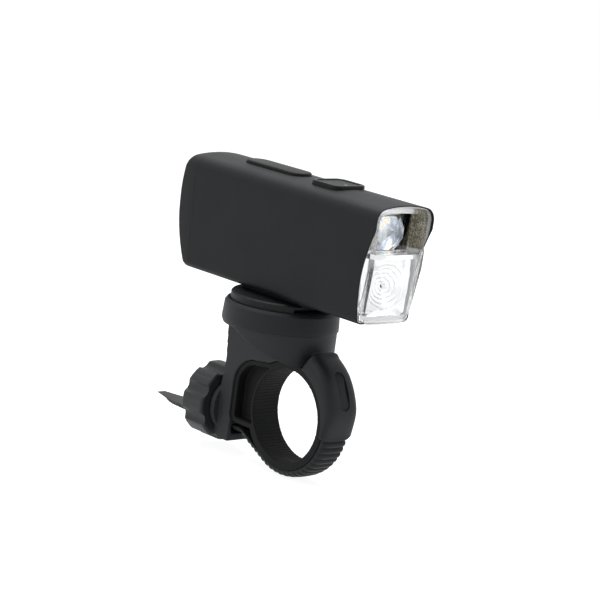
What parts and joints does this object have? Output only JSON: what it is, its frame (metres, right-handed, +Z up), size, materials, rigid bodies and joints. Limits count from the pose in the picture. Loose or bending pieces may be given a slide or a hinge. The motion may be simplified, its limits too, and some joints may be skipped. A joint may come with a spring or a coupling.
{
  "type": "bicycle headlight",
  "caption": "Box-shaped bicycle headlight with a visored clear lens, on a swivelling slide-off head over a hinged strap clamp that a lobed knob draws tight round the handlebar.",
  "frame": {"origin": "centre of the handlebar bore, halfway along the liner", "axes": "+X forward along the beam, +Y left along the handlebar, +Z up"},
  "size_m": [0.1082, 0.04, 0.1018],
  "materials": {
    "bracket_plastic": "fine grained glass-filled nylon, black",
    "strap_plastic": "flexible nylon, black, satin",
    "shell_plastic": "soft-touch coated plastic, black",
    "liner_rubber": "black rubber",
    "cover_rubber": "black silicone rubber",
    "seal_rubber": "red-brown silicone rubber",
    "lens_silicone": "pale silicone rubber",
    "steel": "zinc plated",
    "washer_plastic": "slippery white plastic",
    "clear_plastic": "clear polished polycarbonate",
    "reflector": "bright metallised plastic",
    "board_white": "white board lacquer",
    "board_green": "green board lacquer",
    "led_yellow": "phosphor",
    "lead_red": "insulated lead",
    "aluminium": "plain",
    "cell": "shrink sleeve",
    "switch_black": "moulded",
    "gloss_black": "gloss black",
    "button_grey": "dark grey, satin",
    "indicator_green": "translucent green"
  },
  "bodies": {
    "bracket_body": {"bracket": "bracket_plastic", "head_collar": "bracket_plastic", "rubber_liner": "liner_rubber", "hinge_pin": "steel", "pivot_screw": "steel", "pivot_nut": "steel", "spring_washer": "steel", "friction_washer": "washer_plastic"},
    "strap_body": {"clamp_strap": "strap_plastic"},
    "knob_body": {"clamp_knob": "bracket_plastic"},
    "turntable_body": {"turntable": "bracket_plastic"},
    "lamp_body": {"lamp_foot": "shell_plastic", "foot_screws": "steel", "housing": "shell_plastic", "rear_cap": "shell_plastic", "cap_seal": "seal_rubber", "front_lens": "clear_plastic", "lens_seal": "lens_silicone", "upper_optic": "clear_plastic", "reflector_dish": "reflector", "led_board": "board_white", "lower_led": "led_yellow", "upper_led": "led_yellow", "led_leads": "lead_red", "heat_sink": "aluminium", "battery_cell": "cell", "cell_tabs": "steel", "battery_cradle": "bracket_plastic", "control_board": "board_green", "charge_socket": "steel", "tact_switch": "switch_black", "button_frame": "gloss_black"},
    "button_body": {"power_button": "button_grey", "indicator_window": "indicator_green"},
    "cover_body": {"port_cover": "cover_rubber"}
  },
  "joints": [
    {"name": "lamp_swivel", "type": "hinge", "parent": "bracket_body", "child": "turntable_body", "pos_m": [-0.0141, 0, 0.0289], "axis": [0, 0, 1], "continuous": true},
    {"name": "lamp_release", "type": "slide", "parent": "turntable_body", "child": "lamp_body", "axis": [1, 0, 0], "range_m": [0, 0.032]},
    {"name": "power_button_press", "type": "slide", "parent": "lamp_body", "child": "button_body", "axis": [0, 0, -1], "range_m": [0, 0.0006], "stiffness_N_per_m": 2500, "springref_m": -0.0002},
    {"name": "port_cover_open", "type": "hinge", "parent": "lamp_body", "child": "cover_body", "pos_m": [-0.0375, 0, 0.08], "axis": [0, -1, 0], "range_deg": [0, 100], "stiffness_Nm_per_rad": 0.0005},
    {"name": "knob_turn", "type": "hinge", "parent": "bracket_body", "child": "knob_body", "pos_m": [-0.0392, 0, -0.0051], "axis": [1, 0, 0], "range_deg": [-720, 0]},
    {"name": "strap_draw", "type": "slide", "parent": "bracket_body", "child": "strap_body", "axis": [-1, 0, 0], "range_m": [-0.0044, 0], "deforming": ["clamp_strap"]}
  ],
  "couplings": [
    {"joint": "knob_turn", "follows": "strap_draw", "rad_per_m": 2856}
  ]
}
